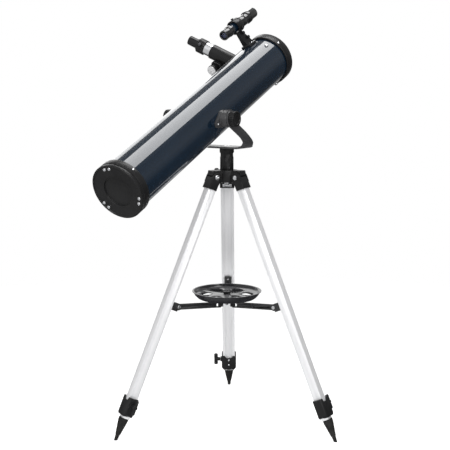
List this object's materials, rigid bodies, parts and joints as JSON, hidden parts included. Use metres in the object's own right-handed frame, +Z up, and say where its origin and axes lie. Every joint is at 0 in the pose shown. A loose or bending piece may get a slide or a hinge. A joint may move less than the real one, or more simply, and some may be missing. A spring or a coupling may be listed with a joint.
{
  "type": "reflector telescope",
  "caption": "Newtonian reflector telescope on a leaning yoke mount, with a finder, rack focuser and folding tripod with an accessory tray.",
  "frame": {"origin": "centre of the footprint, on the floor under the feet", "axes": "+Z up, +Y the way the tube points in plan, +X along the altitude axis to the observer's right"},
  "size_m": [0.5308, 0.7813, 1.1284],
  "materials": {
    "tube_paint": "gloss",
    "black_plastic": "satin",
    "black_gloss": "gloss",
    "black_metal": "satin",
    "dark_tray": "gloss",
    "aluminium": "satin",
    "chrome": "polished",
    "silver_disc": "satin",
    "rubber": "matte",
    "glass": "polished",
    "mirror": "polished"
  },
  "bodies": {
    "tripod": {"tripod_head": "black_plastic"},
    "azimuth_lock": {"azimuth_lock_knob": "black_plastic"},
    "yoke": {"yoke": "black_metal", "azimuth_neck": "black_plastic", "azimuth_bolts": "chrome"},
    "tube": {"main_tube": "tube_paint", "front_ring": "black_plastic", "rear_cap": "black_plastic", "tube_screws": "chrome", "altitude_brackets": "black_metal", "primary_mirror": "mirror", "mirror_cell": "black_plastic", "collimation_screws": "chrome", "spider": "black_metal", "secondary_holder": "black_plastic", "secondary_mirror": "mirror", "focuser_body": "black_plastic", "finder_tube": "tube_paint", "finder_bracket": "black_plastic", "finder_screws": "black_plastic", "finder_lenses": "glass"},
    "altitude_knob_right": {"altitude_knob_right": "black_plastic"},
    "altitude_knob_left": {"altitude_knob_left": "black_plastic"},
    "drawtube": {"drawtube": "chrome", "eyepiece_holder": "black_plastic"},
    "focus_shaft": {"focus_shaft": "silver_disc", "focus_knobs": "black_plastic"},
    "eyepiece_screw": {"eyepiece_screw": "chrome"},
    "eyepiece": {"eyepiece": "black_gloss", "eyepiece_lens": "glass"},
    "brace_hub": {"brace_hub": "black_metal", "tray": "dark_tray"},
    "tray_knob": {"tray_knob": "black_plastic"},
    "leg_a": {"upper_leg_a": "aluminium", "leg_cap_a": "black_plastic", "leg_collar_a": "black_plastic", "brace_bracket_a": "black_metal", "leg_screws_a": "chrome"},
    "leg_slide_a": {"inner_leg_a": "aluminium", "foot_a": "rubber"},
    "wing_screw_a": {"wing_screw_a": "black_plastic"},
    "brace_arm_a": {"brace_arm_a": "black_metal"},
    "leg_b": {"upper_leg_b": "aluminium", "leg_cap_b": "black_plastic", "leg_collar_b": "black_plastic", "brace_bracket_b": "black_metal", "leg_screws_b": "chrome"},
    "leg_slide_b": {"inner_leg_b": "aluminium", "foot_b": "rubber"},
    "wing_screw_b": {"wing_screw_b": "black_plastic"},
    "brace_arm_b": {"brace_arm_b": "black_metal"},
    "leg_c": {"upper_leg_c": "aluminium", "leg_cap_c": "black_plastic", "leg_collar_c": "black_plastic", "brace_bracket_c": "black_metal", "leg_screws_c": "chrome"},
    "leg_slide_c": {"inner_leg_c": "aluminium", "foot_c": "rubber"},
    "wing_screw_c": {"wing_screw_c": "black_plastic"},
    "brace_arm_c": {"brace_arm_c": "black_metal"}
  },
  "joints": [
    {"name": "azimuth", "type": "hinge", "parent": "tripod", "child": "yoke", "pos_m": [-0.071, 0.1037, 0.7], "axis": [0, 0, 1], "continuous": true},
    {"name": "altitude", "type": "hinge", "parent": "yoke", "child": "tube", "pos_m": [-0.071, -0.0163, 0.836], "axis": [1, 0, 0], "range_deg": [-24, 40]},
    {"name": "altitude_knob_right_turn", "type": "hinge", "parent": "tube", "child": "altitude_knob_right", "pos_m": [-0.071, -0.0163, 0.836], "axis": [1, 0, 0], "continuous": true},
    {"name": "altitude_knob_left_turn", "type": "hinge", "parent": "tube", "child": "altitude_knob_left", "pos_m": [-0.071, -0.0163, 0.836], "axis": [-1, 0, 0], "continuous": true},
    {"name": "azimuth_lock_turn", "type": "hinge", "parent": "tripod", "child": "azimuth_lock", "pos_m": [-0.10099, 0.10291, 0.689], "axis": [-0.9997, -0.0262, 0], "continuous": true},
    {"name": "focus_slide", "type": "slide", "parent": "tube", "child": "drawtube", "axis": [-0.8829, -0.1939, 0.4275], "range_m": [-0.015, 0.03]},
    {"name": "focus_shaft_turn", "type": "hinge", "parent": "tube", "child": "focus_shaft", "pos_m": [-0.17144, 0.22604, 0.97473], "axis": [0, 0.9107, 0.4131], "range_deg": [-290, 145]},
    {"name": "eyepiece_out", "type": "slide", "parent": "drawtube", "child": "eyepiece", "axis": [-0.8829, -0.1939, 0.4275], "range_m": [0, 0.035]},
    {"name": "eyepiece_screw_turn", "type": "hinge", "parent": "drawtube", "child": "eyepiece_screw", "pos_m": [-0.21669, 0.20487, 1.02139], "axis": [0.289, -0.9422, 0.1695], "continuous": true},
    {"name": "tray_knob_turn", "type": "hinge", "parent": "brace_hub", "child": "tray_knob", "pos_m": [-0.071, 0.1037, 0.352], "axis": [0, 0, 1], "continuous": true},
    {"name": "leg_fold_a", "type": "hinge", "parent": "tripod", "child": "leg_a", "pos_m": [-0.03201, 0.10472, 0.676], "axis": [-0.0262, 0.9997, 0], "range_deg": [0, 6]},
    {"name": "leg_extend_a", "type": "slide", "parent": "leg_a", "child": "leg_slide_a", "axis": [0.3971, 0.0104, -0.9177], "range_m": [0, 0.4]},
    {"name": "wing_screw_a_turn", "type": "hinge", "parent": "leg_a", "child": "wing_screw_a", "pos_m": [0.22002, 0.14633, 0.09141], "axis": [-0.0262, 0.9997, 0], "continuous": true},
    {"name": "brace_arm_a_turn", "type": "hinge", "parent": "leg_a", "child": "brace_arm_a", "pos_m": [0.07593, 0.10755, 0.33591], "axis": [-0.0262, 0.9997, 0], "range_deg": [0, 41.8]},
    {"name": "leg_fold_b", "type": "hinge", "parent": "tripod", "child": "leg_b", "pos_m": [-0.09138, 0.13695, 0.676], "axis": [-0.8526, -0.5225, 0], "range_deg": [0, 6]},
    {"name": "leg_extend_b", "type": "slide", "parent": "leg_b", "child": "leg_slide_b", "axis": [-0.2075, 0.3387, -0.9177], "range_m": [0, 0.4]},
    {"name": "wing_screw_b_turn", "type": "hinge", "parent": "leg_b", "child": "wing_screw_b", "pos_m": [-0.25343, 0.33441, 0.09141], "axis": [-0.8526, -0.5225, 0], "continuous": true},
    {"name": "brace_arm_b_turn", "type": "hinge", "parent": "leg_b", "child": "brace_arm_b", "pos_m": [-0.1478, 0.22902, 0.33591], "axis": [-0.8526, -0.5225, 0], "range_deg": [0, 41.8]},
    {"name": "leg_fold_c", "type": "hinge", "parent": "tripod", "child": "leg_c", "pos_m": [-0.08961, 0.06943, 0.676], "axis": [0.8788, -0.4772, 0], "range_deg": [0, 6]},
    {"name": "leg_extend_c", "type": "slide", "parent": "leg_c", "child": "leg_slide_c", "axis": [-0.1895, -0.3491, -0.9177], "range_m": [0, 0.4]},
    {"name": "wing_screw_c_turn", "type": "hinge", "parent": "leg_c", "child": "wing_screw_c", "pos_m": [-0.17959, -0.16964, 0.09141], "axis": [0.8788, -0.4772, 0], "continuous": true},
    {"name": "brace_arm_c_turn", "type": "hinge", "parent": "leg_c", "child": "brace_arm_c", "pos_m": [-0.14113, -0.02547, 0.33591], "axis": [0.8788, -0.4772, 0], "range_deg": [0, 41.8]},
    {"name": "brace_lift", "type": "slide", "parent": "tripod", "child": "brace_hub", "axis": [0, 0, 1], "range_m": [0, 0.0881]}
  ],
  "couplings": [
    {"joint": "leg_fold_b", "follows": "leg_fold_a", "ratio": 1},
    {"joint": "leg_fold_c", "follows": "leg_fold_a", "ratio": 1},
    {"joint": "brace_lift", "follows": "leg_fold_a", "m_per_rad": 0.84034},
    {"joint": "focus_shaft_turn", "follows": "focus_slide", "rad_per_m": -166.67},
    {"joint": "brace_arm_a_turn", "follows": "leg_fold_a", "ratio": 6.9583},
    {"joint": "brace_arm_b_turn", "follows": "leg_fold_a", "ratio": 6.9583},
    {"joint": "brace_arm_c_turn", "follows": "leg_fold_a", "ratio": 6.9583}
  ]
}
